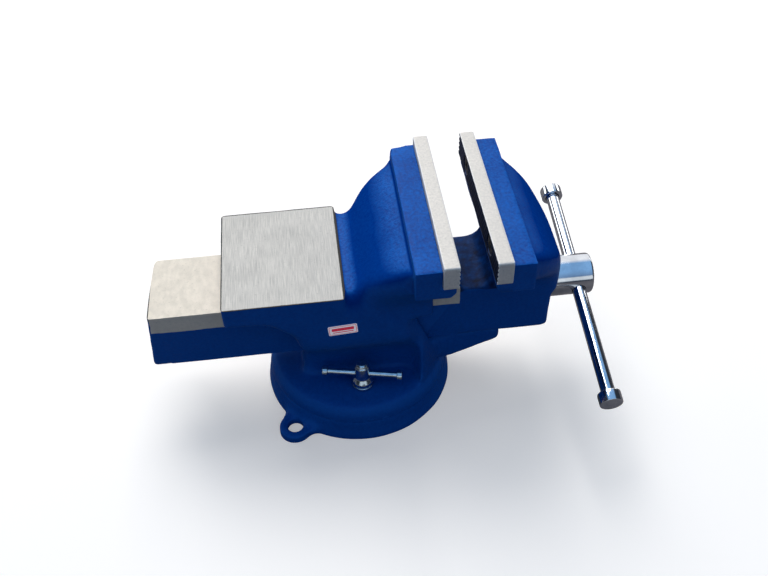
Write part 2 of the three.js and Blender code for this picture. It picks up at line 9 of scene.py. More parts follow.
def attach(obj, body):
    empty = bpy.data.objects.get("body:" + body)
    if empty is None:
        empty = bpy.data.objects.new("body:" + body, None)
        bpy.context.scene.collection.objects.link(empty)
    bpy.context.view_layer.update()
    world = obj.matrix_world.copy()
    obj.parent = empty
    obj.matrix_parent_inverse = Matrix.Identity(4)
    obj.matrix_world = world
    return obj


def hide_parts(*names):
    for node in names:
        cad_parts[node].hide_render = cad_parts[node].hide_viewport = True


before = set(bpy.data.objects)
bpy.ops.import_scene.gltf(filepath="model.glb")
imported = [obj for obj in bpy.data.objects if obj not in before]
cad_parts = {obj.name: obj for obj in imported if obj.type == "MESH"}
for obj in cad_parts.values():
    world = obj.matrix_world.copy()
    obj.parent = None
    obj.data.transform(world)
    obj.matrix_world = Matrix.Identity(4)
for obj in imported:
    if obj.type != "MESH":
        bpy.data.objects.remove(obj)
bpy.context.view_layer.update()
MM = 0.001
FAR = 200  # millimetres, past every piece: the outer ends of the boxes that cut
ROUND_SIDES = 64


# ------------------------------------------------------------------ meshes
def add_object(name, mesh):
    obj = bpy.data.objects.new(name, mesh)
    bpy.context.scene.collection.objects.link(obj)
    return obj


def from_bmesh(name, bm):
    mesh = bpy.data.meshes.new(name)
    bmesh.ops.recalc_face_normals(bm, faces=bm.faces)
    bm.to_mesh(mesh)
    bm.free()
    return add_object(name, mesh)


def bake_modifiers(obj):
    """Replaces an object's mesh by what its modifiers make of it."""
    graph = bpy.context.evaluated_depsgraph_get()
    made = bpy.data.meshes.new_from_object(obj.evaluated_get(graph))
    obj.modifiers.clear()
    old = obj.data
    obj.data = made
    bpy.data.meshes.remove(old)
    return obj


def coords(mesh):
    co = np.empty(len(mesh.vertices) * 3, np.float32)
    mesh.vertices.foreach_get("co", co)
    return co.reshape(-1, 3).astype(float)


def set_coords(mesh, co):
    mesh.vertices.foreach_set("co", co.astype(np.float32).ravel())
    mesh.update()


def box_tool(x0, x1, y0, y1, z0, z1):
    """A throwaway box, in millimetres, to add stock or to cut with."""
    bm = bmesh.new()
    size = Vector((x1 - x0, y1 - y0, z1 - z0)) * MM
    middle = Vector((x0 + x1, y0 + y1, z0 + z1)) * MM / 2
    bmesh.ops.create_cube(bm, size=1.0, matrix=Matrix.Translation(middle) @ Matrix.Diagonal((*size, 1)))
    return from_bmesh("tool", bm)


def round_tool(axis, centre, radius, low, high):
    """A throwaway cylinder, in millimetres, along the x or z axis from low to high."""
    bm = bmesh.new()
    turn = Matrix.Rotation(math.pi / 2, 4, "Y") if axis == "x" else Matrix.Identity(4)
    place = Vector(centre)
    place["xyz".index(axis)] = (low + high) / 2
    bmesh.ops.create_cone(bm, cap_ends=True, segments=ROUND_SIDES, radius1=radius * MM, radius2=radius * MM,
                          depth=(high - low) * MM, matrix=Matrix.Translation(place * MM) @ turn)
    return from_bmesh("tool", bm)


def pushed(points, way):
    """A throwaway solid: a flat loop of points and its copy moved by way, in millimetres."""
    bm = bmesh.new()
    face = bm.faces.new([bm.verts.new(Vector(point) * MM) for point in points])
    solid = bmesh.ops.extrude_face_region(bm, geom=[face])
    moved = [part for part in solid["geom"] if isinstance(part, bmesh.types.BMVert)]
    bmesh.ops.translate(bm, verts=moved, vec=Vector(way) * MM)
    return from_bmesh("tool", bm)


def prism_tool(outline, low, high):
    """A throwaway bar along Y, in millimetres. outline is a list of (x, z), low and high its ends."""
    return pushed([(x, low, z) for x, z in outline], (0, high - low, 0))


def turned(name, rows, place, sides=96):
    """A solid of revolution. rows is a list of (radius, height), in millimetres, from one end of
    the axis to the other; place is the matrix from there into the scene."""
    verts = []
    rings = []
    for radius, height in rows:
        if radius < 1e-6:
            rings.append([len(verts)] * sides)
            verts.append((0, 0, height * MM))
            continue
        rings.append(list(range(len(verts), len(verts) + sides)))
        for i in range(sides):
            angle = 2 * math.pi * i / sides
            verts.append((radius * MM * math.cos(angle), radius * MM * math.sin(angle), height * MM))
    faces = []
    for low, high in zip(rings, rings[1:]):
        for i in range(sides):
            j = (i + 1) % sides
            face = list(dict.fromkeys((low[i], low[j], high[j], high[i])))
            if len(face) > 2:
                faces.append(face)
    mesh = bpy.data.meshes.new(name)
    mesh.from_pydata(verts, [], faces)
    mesh.transform(place)
    return add_object(name, mesh)


def eased(points, radius, steps=4):
    """An open line of points with its inner corners rounded by about radius."""
    line = [points[0]]
    for before, here, after in zip(points, points[1:], points[2:]):
        here = Vector(here)
        ends = []
        for other in (before, after):
            way = Vector(other) - here
            ends.append(here + way.normalized() * min(radius, way.length * 0.45))
        for i in range(steps + 1):
            t = i / steps
            point = ends[0] * (1 - t) ** 2 + here * 2 * t * (1 - t) + ends[1] * t ** 2
            line.append(tuple(point))
    return line + [points[-1]]


def drop(obj):
    """Deletes a throwaway solid."""
    mesh = obj.data
    bpy.data.objects.remove(obj)
    bpy.data.meshes.remove(mesh)


def carve(obj, *tools, operation="DIFFERENCE"):
    """Cuts each throwaway solid out of obj, or with INTERSECT keeps only what lies inside it."""
    for tool in tools:
        mod = obj.modifiers.new("carve", "BOOLEAN")
        mod.object = tool
        mod.operation = operation
        mod.solver = "MANIFOLD"
        bake_modifiers(obj)
        drop(tool)
    return obj


def weld(obj):
    """Joins the first and last row of a ring that turned() made, and turns its faces outwards."""
    bm = bmesh.new()
    bm.from_mesh(obj.data)
    bmesh.ops.remove_doubles(bm, verts=bm.verts, dist=1e-7)
    bmesh.ops.recalc_face_normals(bm, faces=bm.faces)
    bm.to_mesh(obj.data)
    bm.free()


def neighbours(mesh):
    """Every edge taken both ways: the points it leaves and the points it reaches."""
    edges = np.empty(len(mesh.edges) * 2, np.int32)
    mesh.edges.foreach_get("vertices", edges)
    a, b = edges.reshape(-1, 2).T
    return np.concatenate([a, b]), np.concatenate([b, a])


def relaxed(co, ends, steps, weight):
    """Moves each point part of the way to the middle of its neighbours, steps times."""
    here, there = ends
    count = np.maximum(np.bincount(here, minlength=len(co)), 1)[:, None]
    for _ in range(steps):
        mean = np.stack([np.bincount(here, co[there, k], len(co)) for k in range(3)], 1) / count
        co = co + (mean - co) * weight[:, None]
    return co


def vertex_normals(mesh):
    n = np.empty(len(mesh.vertices) * 3, np.float32)
    mesh.vertex_normals.foreach_get("vector", n)
    return n.reshape(-1, 3).astype(float)


def waves(co, seed, length, count=24):
    """A smooth random field of about -1 to 1 with bumps about length metres apart."""
    rng = np.random.default_rng(seed)
    way = rng.normal(size=(count, 3))
    way *= (2 * np.pi / length) * rng.uniform(0.6, 1.4, (count, 1)) / np.linalg.norm(way, axis=1)[:, None]
    phase = rng.uniform(0, 2 * np.pi, count)
    return np.sin(co @ way.T + phase).sum(1) / np.sqrt(count)


def reskin(obj, voxel):
    """Covers a piece with an even grid of faces, voxel millimetres apart."""
    mod = obj.modifiers.new("skin", "REMESH")
    mod.mode = "VOXEL"
    mod.voxel_size = voxel * MM
    bake_modifiers(obj)


def store_edges(mesh):
    """Keeps how far each point stands out of its surroundings, as the attribute edge, in millimetres."""
    co = coords(mesh)
    flat = relaxed(co, neighbours(mesh), 6, np.full(len(co), 0.5))
    out = ((co - flat) * vertex_normals(mesh)).sum(1) / MM
    layer = mesh.attributes.new("edge", "FLOAT", "POINT")
    layer.data.foreach_set("value", out.astype(np.float32))


def finish_mesh(obj, body, materials, nodes, sharp=35):
    """Shading, materials and what the frame needs to know about a piece."""
    obj.data.shade_smooth()
    obj.data.set_sharp_from_angle(angle=math.radians(sharp))
    obj.data.materials.clear()
    for material in materials:
        obj.data.materials.append(material)
    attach(obj, body)
    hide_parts(*nodes)


# ------------------------------------------------------------------ sizes of the castings, in millimetres
ANVIL_REAR, ANVIL_FRONT = -97.2, -9.5
ANVIL_HALF = 51.7
ANVIL_TOP = 135.7
BLOCK_HALF = 71.9
BLOCK_TOP = 173.4
SEAT_LOW = 158.4
FIXED_SEAT, MOVING_SEAT = 56.1, 104.3
CHANNEL_HALF = 31.5
CHANNEL_LOW, CHANNEL_HIGH = 61.8, 114.6
SLIDE_HALF = 31
SLIDE_TOP = 114.1
SPINDLE_Z = 86
BOLT_CIRCLE = 44.5
LUG_ANGLE = math.radians(226.3)
LUG_RADIUS = 82
CENTRE = (0, 0, 0)


# ------------------------------------------------------------------ materials
class Nodes:
    """A short way to write a material's nodes."""

    def __init__(self, name):
        self.material = bpy.data.materials.new(name)
        self.material.use_nodes = True
        self.tree = self.material.node_tree
        self.shader = self.tree.nodes["Principled BSDF"]
        self.place = self.new("ShaderNodeTexCoord").outputs["Object"]

    def new(self, kind, **settings):
        node = self.tree.nodes.new(kind)
        for key, value in settings.items():
            setattr(node, key, value)
        return node

    def feed(self, socket, value):
        if isinstance(value, bpy.types.NodeSocket):
            self.tree.links.new(value, socket)
        else:
            socket.default_value = value

    def noise(self, scale, detail, rough, where=None):
        node = self.new("ShaderNodeTexNoise")
        self.feed(node.inputs["Vector"], where or self.place)
        for key, value in (("Scale", scale), ("Detail", detail), ("Roughness", rough)):
            self.feed(node.inputs[key], value)
        return node.outputs["Fac"]

    def stretched(self, scale):
        """The place scaled by its own factor along each axis, for streaks."""
        node = self.new("ShaderNodeMapping")
        self.feed(node.inputs["Vector"], self.place)
        node.inputs["Scale"].default_value = scale
        return node.outputs["Vector"]

    def math(self, operation, *values):
        node = self.new("ShaderNodeMath", operation=operation)
        for socket, value in zip(node.inputs, values):
            self.feed(socket, value)
        return node.outputs[0]

    def times(self, a, b):
        return self.math("MULTIPLY", a, b)

    def plus(self, a, b):
        return self.math("ADD", a, b)

    def minus(self, a, b):
        return self.math("SUBTRACT", a, b)

    def larger(self, a, b):
        return self.math("MAXIMUM", a, b)

    def absolute(self, value):
        return self.math("ABSOLUTE", value)

    def span(self, value, low, high, to_low=0.0, to_high=1.0):
        """to_low where value is low, to_high where it is high, and in step in between."""
        node = self.new("ShaderNodeMapRange")
        self.feed(node.inputs["Value"], value)
        for key, limit in (("From Min", low), ("From Max", high), ("To Min", to_low), ("To Max", to_high)):
            self.feed(node.inputs[key], limit)
        return node.outputs[0]

    def mix(self, share, a, b):
        """Between two colours."""
        node = self.new("ShaderNodeMix", data_type="RGBA")
        self.feed(node.inputs["Factor"], share)
        for socket, value in ((node.inputs[6], a), (node.inputs[7], b)):
            self.feed(socket, (*value, 1.0) if isinstance(value, tuple) else value)
        return node.outputs[2]

    def blend(self, share, a, b):
        """Between two numbers."""
        node = self.new("ShaderNodeMix")
        for socket, value in ((node.inputs[0], share), (node.inputs[2], a), (node.inputs[3], b)):
            self.feed(socket, value)
        return node.outputs[0]

    def axes(self):
        node = self.new("ShaderNodeSeparateXYZ")
        self.feed(node.inputs[0], self.place)
        return node.outputs

    def upward(self):
        """How far the surface faces up: 1 on level ground, 0 on a wall."""
        node = self.new("ShaderNodeSeparateXYZ")
        self.feed(node.inputs[0], self.new("ShaderNodeTexCoord").outputs["Normal"])
        return node.outputs["Z"]

    def above(self, value, edge, soft):
        """1 where value is past edge and 0 before it, over a band soft wide. With a negative soft
        it is the other way round."""
        return self.span(value, edge - soft / 2, edge + soft / 2)

    def attribute(self, name):
        return self.new("ShaderNodeAttribute", attribute_name=name).outputs["Fac"]

    def bump(self, height, distance, strength, under=None):
        node = self.new("ShaderNodeBump")
        self.feed(node.inputs["Height"], height)
        node.inputs["Distance"].default_value = distance
        self.feed(node.inputs["Strength"], strength)
        if under is not None:
            self.feed(node.inputs["Normal"], under)
        return node.outputs["Normal"]

    def set(self, **values):
        names = {"color": "Base Color", "roughness": "Roughness", "metallic": "Metallic", "normal": "Normal",
                 "specular": "Specular IOR Level"}
        for key, value in values.items():
            self.feed(self.shader.inputs[names[key]], (*value, 1.0) if isinstance(value, tuple) else value)
        return self.material


ENAMEL_DARK, ENAMEL_LIGHT = (0.0005, 0.046, 0.245), (0.004, 0.115, 0.455)
# Painted shade on slopes up on the jaws, and painted highlight on slopes down below.
ENAMEL_SLOPE_SHADE, ENAMEL_SLOPE_HIGHLIGHT = (0.0003, 0.024, 0.20), (0.008, 0.13, 0.46)
# Painted highlight on convex edges of the enamel, and painted shade in its hollows.
ENAMEL_EDGE_HIGHLIGHT, ENAMEL_HOLLOW_SHADE = (0.01, 0.13, 0.50), (0.0005, 0.014, 0.11)
# Painted shade on the slide's enamel between the jaws.
ENAMEL_GAP_SHADE = (0.0035, 0.010, 0.040)
# A dark line along the edges of the machined faces.
EDGE_LINE_DARK = (0.035, 0.032, 0.030)
# Painted highlight on the outer edges of ground steel.
STEEL_EDGE_HIGHLIGHT = (0.93, 0.90, 0.85)
PAINT_BUMP = 0.0010  # metres
STEEL_BUMP = 0.00025  # metres
STEEL_METALLIC = 0.1
STEEL_ON_SLIDE = ((0.77, 0.675, 0.54), (0.70, 0.615, 0.49))
STEEL_ON_ANVIL = ((0.63, 0.585, 0.51), (0.44, 0.41, 0.36))


def paint_colour(n):
    """The blue enamel's colour, roughness, bump height and specular level, all as nodes. Slopes
    up on the jaws are darker and duller than level faces and walls, as painted shade, and slopes
    down below are paler, as painted highlight."""
    broad = n.noise(22, 3, 0.55)
    mottle = n.noise(420, 3, 0.6)
    grain = n.noise(1500, 2, 0.5)
    tone = n.plus(n.times(broad, 0.35), n.times(mottle, 0.65))
    upward = n.upward()
    high = n.span(n.axes()[2], 0.095, 0.125)
    # The mottle shows stronger on level faces high up, as painted highlight on the orange peel.
    highlight_contrast = n.span(n.times(upward, high), 0.3, 0.95, 0.35, 1.15)
    shade = n.plus(n.times(n.minus(tone, 0.5), highlight_contrast), 0.5)
    color = n.mix(n.span(shade, 0.34, 0.66), ENAMEL_DARK, ENAMEL_LIGHT)
    # Slopes: painted shade high up, painted highlight down below.
    slope = n.times(n.span(upward, 0.12, 0.4), n.span(upward, 0.92, 0.76))
    slope_highlight = n.times(slope, n.span(high, 0.0, 1.0, 0.35, 0.0))
    slope = n.times(slope, high)
    color = n.mix(n.times(slope, 0.75), color, ENAMEL_SLOPE_SHADE)
    color = n.mix(slope_highlight, color, ENAMEL_SLOPE_HIGHLIGHT)
    # Convex edges get a painted highlight, hollows a painted shade.
    edge = n.attribute("edge")
    edge_highlight = n.span(n.plus(edge, n.times(mottle, 0.25)), 0.34, 0.62, 0.0, 0.4)
    color = n.mix(edge_highlight, color, ENAMEL_EDGE_HIGHLIGHT)
    hollow_shade = n.span(edge, -0.1, -0.5, 0.0, 0.6)
    color = n.mix(hollow_shade, color, ENAMEL_HOLLOW_SHADE)
    height = n.plus(n.times(mottle, 0.7), n.times(grain, 0.3))
    return color, n.span(mottle, 0.3, 0.7, 0.36, 0.52), height, n.span(slope, 0.0, 1.0, 0.07, 0.0)


def steel_colour(n, tones, lines, rough):
    """Machined metal: colour, roughness and bump height. lines sets which way its streaks run."""
    light, dark = tones
    streak = n.noise(1.0, 3, 0.6, where=n.stretched(lines))
    cloud = n.noise(38, 4, 0.6)
    pits = n.noise(620, 2, 0.5)
    tone = n.plus(n.times(streak, 0.8), n.times(cloud, 0.2))
    color = n.mix(n.span(tone, 0.36, 0.62), dark, light)
    color = n.mix(n.span(pits, 0.62, 0.78, 0.0, 0.5), color, tuple(v * 0.72 for v in dark))
    return color, n.span(tone, 0.35, 0.65, rough + 0.08, rough - 0.06), streak


def enamel():
    n = Nodes("blue_enamel")
    color, rough, height, specular = paint_colour(n)
    return n.set(color=color, roughness=rough, normal=n.bump(height, PAINT_BUMP, 0.5), specular=specular)


def part_machined(name, bare, tones, lines, rough):
    """Enamel, and bare machined steel where bare (a function of the nodes) gives 1. bare also
    gives how far past the machined face's edge a point is, negative on the face, and how
    much painted shade darkens the enamel between the jaws."""
    n = Nodes(name)
    paint = paint_colour(n)
    steel = steel_colour(n, tones, lines, rough)
    mask, past_edge, gap_shade = bare(n)
    # Darkens the steel in a thin line along the machined face's edge.
    edge_line = n.above(n.plus(past_edge, n.times(paint[2], 0.0006)), -0.0006, 0.0004)
    bright = n.mix(edge_line, steel[0], EDGE_LINE_DARK)
    color = n.mix(mask, n.mix(gap_shade, paint[0], ENAMEL_GAP_SHADE), bright)
    roughness = n.blend(mask, paint[1], steel[1])
    painted = n.bump(paint[2], PAINT_BUMP, n.minus(0.5, n.times(mask, 0.5)))
    normal = n.bump(steel[2], STEEL_BUMP, n.times(mask, 0.5), painted)
    return n.set(color=color, roughness=roughness, metallic=n.times(mask, STEEL_METALLIC), normal=normal,
                 specular=paint[3])


def anvil_top(n):
    """The anvil's face, above 135.4 mm and behind the shoulder, and the dark line round its edge."""
    x, y, z = n.axes()
    mask = n.times(n.above(z, 0.13538, 0.00012), n.above(x, -0.0086, -0.0003))
    across = n.minus(n.absolute(y), ANVIL_HALF * MM)
    behind = n.minus(ANVIL_REAR * MM, x)
    past_edge = n.larger(n.larger(across, behind), n.plus(x, 0.0096))
    return mask, past_edge, 0.0


def slide_faces(n):
    """The slide's ground top, the band down its sides that guides it, and painted shade on the enamel ahead
    of them, between the jaws.
    """
    x, y, z = n.axes()
    wander = n.times(n.minus(n.noise(70, 3, 0.5), 0.5), 0.0018)
    rear = n.above(n.plus(x, wander), 0.0775, -0.0004)
    top = n.above(z, 0.11385, 0.0001)
    guide = n.above(n.plus(z, wander), 0.0983, 0.0004)
    band = n.times(guide, n.above(n.absolute(y), 0.0307, 0.0001))
    mask = n.times(rear, n.larger(top, band))
    lean = n.times(n.minus(0.1141, z), 0.094)
    # Painted shade, in patches, on the slide's enamel top between the jaws.
    patchy = n.span(n.noise(160, 3, 0.6), 0.3, 0.7, 0.45, 1.0)
    between = n.times(n.above(x, 0.1052, -0.0006), n.above(z, 0.145, -0.02))
    level = n.above(z, 0.1105, 0.0006)
    gap_shade = n.times(patchy, n.times(between, level))
    return mask, n.minus(n.minus(-0.1539, lean), x), gap_shade


def ground(name, tones, lines, rough):
    """Ground steel with a painted highlight on its outer edges."""
    n = Nodes(name)
    color, roughness, streak = steel_colour(n, tones, lines, rough)
    color = n.mix(n.span(n.attribute("edge"), 0.05, 0.14, 0.0, 0.8), color, STEEL_EDGE_HIGHLIGHT)
    normal = n.bump(streak, STEEL_BUMP, 0.5)
    return n.set(color=color, metallic=STEEL_METALLIC, roughness=roughness, normal=normal, specular=0.07)


def plated(name, dark, light, rough, scale, bump):
    """A plated or oiled metal with a faint haze."""
    n = Nodes(name)
    haze = n.noise(scale, 3, 0.6)
    fine = n.noise(1.0, 2, 0.5, where=n.stretched((1400, 700, 700)))
    color = n.mix(n.span(haze, 0.35, 0.65), dark, light)
    return n.set(color=color, metallic=1.0, roughness=n.span(haze, 0.3, 0.7, *rough),
                 normal=n.bump(fine, bump, 0.4))


def film(name, dark, light, painted_glow):
    """Printed film that glows a little, brighter than the light on it: the glow is painted light."""
    n = Nodes(name)
    haze = n.noise(500, 3, 0.6)
    color = n.mix(n.span(haze, 0.3, 0.7), dark, light)
    n.feed(n.shader.inputs["Emission Color"], color)
    n.shader.inputs["Emission Strength"].default_value = painted_glow
    return n.set(color=color, roughness=n.span(haze, 0.3, 0.7, 0.35, 0.5), normal=n.bump(haze, 0.0001, 0.3))


ENAMEL = enamel()
BODY_SKIN = part_machined("enamel_and_anvil", anvil_top, STEEL_ON_ANVIL, (2100, 60, 2100), 0.5)
JAW_SKIN = part_machined("enamel_and_slide", slide_faces, STEEL_ON_SLIDE, (260, 160, 260), 0.52)
PLATE_STEEL = ground("ground_plate", ((0.76, 0.69, 0.595), (0.66, 0.60, 0.52)), (520, 520, 520), 0.5)
# Dark steel, tinted navy as a painted reflection of the blue enamel in shade.
GRIP_STEEL_WITH_REFLECTION = plated("grip_face_with_reflection", (0.014, 0.022, 0.055), (0.032, 0.045, 0.095), (0.5, 0.6), 300, 0.00005)
CHROME = plated("chrome_plate", (0.66, 0.69, 0.73), (0.80, 0.83, 0.87), (0.06, 0.12), 90, 0.00003)
ZINC = plated("zinc_plate", (0.44, 0.54, 0.60), (0.66, 0.76, 0.81), (0.14, 0.24), 260, 0.00005)
DARK_STEEL = plated("dark_steel", (0.05, 0.052, 0.056), (0.11, 0.112, 0.12), (0.35, 0.55), 300, 0.00008)
# The label's film and ink glow a little: painted light.
FILM = film("label_film", (0.80, 0.72, 0.74), (0.90, 0.84, 0.85), 0.30)
INK = film("label_ink", (0.55, 0.02, 0.05), (0.70, 0.04, 0.08), 0.35)


# ------------------------------------------------------------------ castings
CAST_VOXEL = 1.3
CAST_SWELL = 0.12  # how far the faces wander in and out


def ramp(value, low, high):
    """0 up to low, 1 from high on, and in step in between."""
    return np.clip((value - low) / (high - low), 0.0, 1.0)


def cast(node, name, stock, rounding, seed):
    """A cast skin over a CAD node: the node with extra stock where it will be machined, its
    edges rounded as a foundry pattern's are, and its faces slightly uneven. rounding is a list
    of (steps, share), where share gives each point's part in the smoothing."""
    bm = bmesh.new()
    bm.from_mesh(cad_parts[node].data)
    bmesh.ops.remove_doubles(bm, verts=bm.verts, dist=1e-6)
    for tool in stock:
        bm.from_mesh(tool.data)
        drop(tool)
    obj = from_bmesh(name, bm)
    reskin(obj, CAST_VOXEL)
    ends = neighbours(obj.data)
    co = coords(obj.data)
    for steps, share in rounding:
        co = relaxed(co, ends, steps, 0.5 * share(*(co / MM).T))
    set_coords(obj.data, co)
    co = co + vertex_normals(obj.data) * (waves(co, seed, 0.028) * CAST_SWELL * MM)[:, None]
    set_coords(obj.data, co)
    return obj


def crisp_blocks(x, y, z):
    """Rounds the edges of the jaw blocks, the anvil and the slide's tail less than the rest."""
    return np.where((z > 146) | (x < -100), 0.3, np.where((z > 117) & (x < -9), 0.5, 1.0))


def body_sweeps(x, y, z):
    """Where the body's faces run into each other in wide sweeps: the recesses and the shoulder."""
    away = 1 - ramp(np.hypot(x, y), 62, 66) * (z < 37)
    recess = ramp(z, 31, 37) * (1 - ramp(z, 92, 108)) * ramp(abs(y), 20, 28) * away * (1 - ramp(x, 70, 78))
    crown = ramp(x, -9.2, -4) * (1 - ramp(x, 31, 36)) * ramp(z, 100, 116)
    under = ramp(x, 30, 36) * (1 - ramp(z, 139, 146)) * ramp(z, 100, 116)
    return np.maximum.reduce([recess, crown, under])


def far_corner(x, y, z):
    """The top corner at the far end of the fixed block, which is well rounded."""
    return ramp(y, 64, 69) * ramp(z, 164, 169) * (1 - ramp(x, 44, 50))


def jaw_sweeps(x, y, z):
    """The moving jaw's shoulder, down to the slide."""
    shoulder = ramp(x, 121, 126) * ramp(z, 98, 106)
    under = ramp(x, 106, 112) * ramp(z, 112, 118) * (1 - ramp(z, 139, 146))
    return np.maximum(shoulder, under)


def everywhere(x, y, z):
    return np.ones(len(x))


def lug_sweeps(x, y, z):
    """The roots of the two lugs."""
    along = abs(x * math.cos(LUG_ANGLE) + y * math.sin(LUG_ANGLE))
    across = abs(y * math.cos(LUG_ANGLE) - x * math.sin(LUG_ANGLE))
    return ramp(along, 64, 68) * (1 - ramp(along, 76, 80)) * (1 - ramp(across, 24, 30)) * ramp(z, 2, 4)


def make_body():
    """The main casting, machined on its anvil, its plate seat, its channel and its foot."""
    stock = [box_tool(ANVIL_REAR, ANVIL_FRONT, -ANVIL_HALF, ANVIL_HALF, 125, 142),
             box_tool(50, 59.5, -BLOCK_HALF, BLOCK_HALF, 160, BLOCK_TOP),
             round_tool("z", CENTRE, 72.6, 12, 20)]
    rounding = [(9, crisp_blocks), (110, body_sweeps), (24, far_corner)]
    obj = cast("vise_body", "cast_body", stock, rounding, 11)
    carve(obj,
          box_tool(-FAR, ANVIL_FRONT + 0.6, -FAR, FAR, ANVIL_TOP, FAR),
          box_tool(FIXED_SEAT, FAR, -FAR, FAR, SEAT_LOW, FAR),
          box_tool(-FAR, FAR, -CHANNEL_HALF, CHANNEL_HALF, CHANNEL_LOW, CHANNEL_HIGH),
          box_tool(-FAR, FAR, -FAR, FAR, -FAR, 18.3),
          round_tool("z", CENTRE, 14.4, 0, 26.5),
          round_tool("z", CENTRE, 10.8, 17, 36),
          round_tool("z", CENTRE, 6.2, 20, 70),
          round_tool("z", (0, -BOLT_CIRCLE, 0), 5.3, 10, 40),
          round_tool("z", (0, BOLT_CIRCLE, 0), 5.3, 10, 40))
    store_edges(obj.data)
    finish_mesh(obj, "vise", [BODY_SKIN], ["vise_body"])


def make_moving_jaw():
    """The moving jaw with its slide, machined on the slide's top and sides and on its plate seat."""
    tail = [(-149.5, SLIDE_HALF), (-151.7, 26), (-152.7, 12), (-153.5, -8), (-153.8, -SLIDE_HALF)]
    top = [*tail, (77, -SLIDE_HALF), (77, SLIDE_HALF)]
    stock = [pushed([(x, y, 108) for x, y in top], (0, 0, 10)),
             box_tool(-144, 77, -SLIDE_HALF - 3, -20, 64, 118),
             box_tool(-144, 77, 20, SLIDE_HALF + 3, 64, 118),
             box_tool(100, 110, -BLOCK_HALF, BLOCK_HALF, 160, BLOCK_TOP)]
    obj = cast("moving_jaw", "cast_moving_jaw", stock, [(9, crisp_blocks), (60, jaw_sweeps)], 12)
    carve(obj,
          box_tool(-FAR, 79, -FAR, FAR, SLIDE_TOP, FAR),
          box_tool(-FAR, 82, -FAR, -SLIDE_HALF, -FAR, FAR),
          box_tool(-FAR, 82, SLIDE_HALF, FAR, -FAR, FAR),
          box_tool(-FAR, MOVING_SEAT, -FAR, FAR, SEAT_LOW, FAR),
          round_tool("x", (0, 0, SPINDLE_Z), 12.2, 120, 200),
          round_tool("x", (0, 0, SPINDLE_Z), 16.8, 148.9, 200))
    store_edges(obj.data)
    finish_mesh(obj, "jaw", [JAW_SKIN], ["moving_jaw"])


def make_base():
    """The round base, machined on its rim and underneath, with a bolt hole in each lug."""
    foot = turned("tool", [(62, -6), (75.6, -6), (75.6, 1.5), (62, 1.5), (62, -6)], Matrix.Identity(4))
    weld(foot)
    lug = Vector((math.cos(LUG_ANGLE), math.sin(LUG_ANGLE), 0)) * LUG_RADIUS
    stock = [round_tool("z", CENTRE, 72.4, 15, 22), foot]
    for place in (lug, -lug):
        stock.append(round_tool("z", place, 12.8, -6, 1.5))
    obj = cast("swivel_base", "cast_base", stock, [(9, everywhere), (40, lug_sweeps)], 13)
    rim = carve(round_tool("z", CENTRE, 90, 18, 30), round_tool("z", CENTRE, 14, 10, 40))
    carve(obj, rim, box_tool(-FAR, FAR, -FAR, FAR, -FAR, 0))
    for place in (lug, -lug):
        carve(obj, round_tool("z", place, 6.3, -5, 30))
    store_edges(obj.data)
    finish_mesh(obj, "base", [ENAMEL], ["swivel_base"])


# ------------------------------------------------------------------ jaw plates and their screws
PLATE_LOW, PLATE_HIGH = 158.8, 178.8
PLATE_HALF = 75
SCREW_SPREAD = 45
PLATE_DEPTH = 11.1
PLATE_VOXEL = 0.5
FIXED_FACE, MOVING_FACE = 67.5, 92.9
TOOTH_PITCH = 4
GROOVE_DEPTH = 0.9
PLATE_MIDDLE = (PLATE_LOW + PLATE_HIGH) / 2


def round_ended(half, low, high, radius, x0, x1):
    """A throwaway plate across X whose four corners are rounded, in millimetres."""
    points = []
    corners = ((half, low, -90), (half, high, 0), (-half, high, 90), (-half, low, 180))
    for y, z, start in corners:
        y -= math.copysign(radius, y)
        z += radius if z == low else -radius
        for i in range(7):
            angle = math.radians(start + 15 * i)
            points.append((x0, y + radius * math.cos(angle), z + radius * math.sin(angle)))
    return pushed(points, (x1 - x0, 0, 0))


def mark_grip(mesh, face, side):
    """The grooved face, short of the plate's own edges, takes the second material."""
    edge = 0.7
    centre = np.empty(len(mesh.polygons) * 3, np.float32)
    mesh.polygons.foreach_get("center", centre)
    x, y, z = centre.reshape(-1, 3).T / MM
    inside = (abs(y) < PLATE_HALF - edge) & (z > PLATE_LOW + edge) & (z < PLATE_HIGH - edge)
    grip = inside & (side * (face - x) < GROOVE_DEPTH + 0.2)
    mesh.polygons.foreach_set("material_index", grip.astype(np.int32))


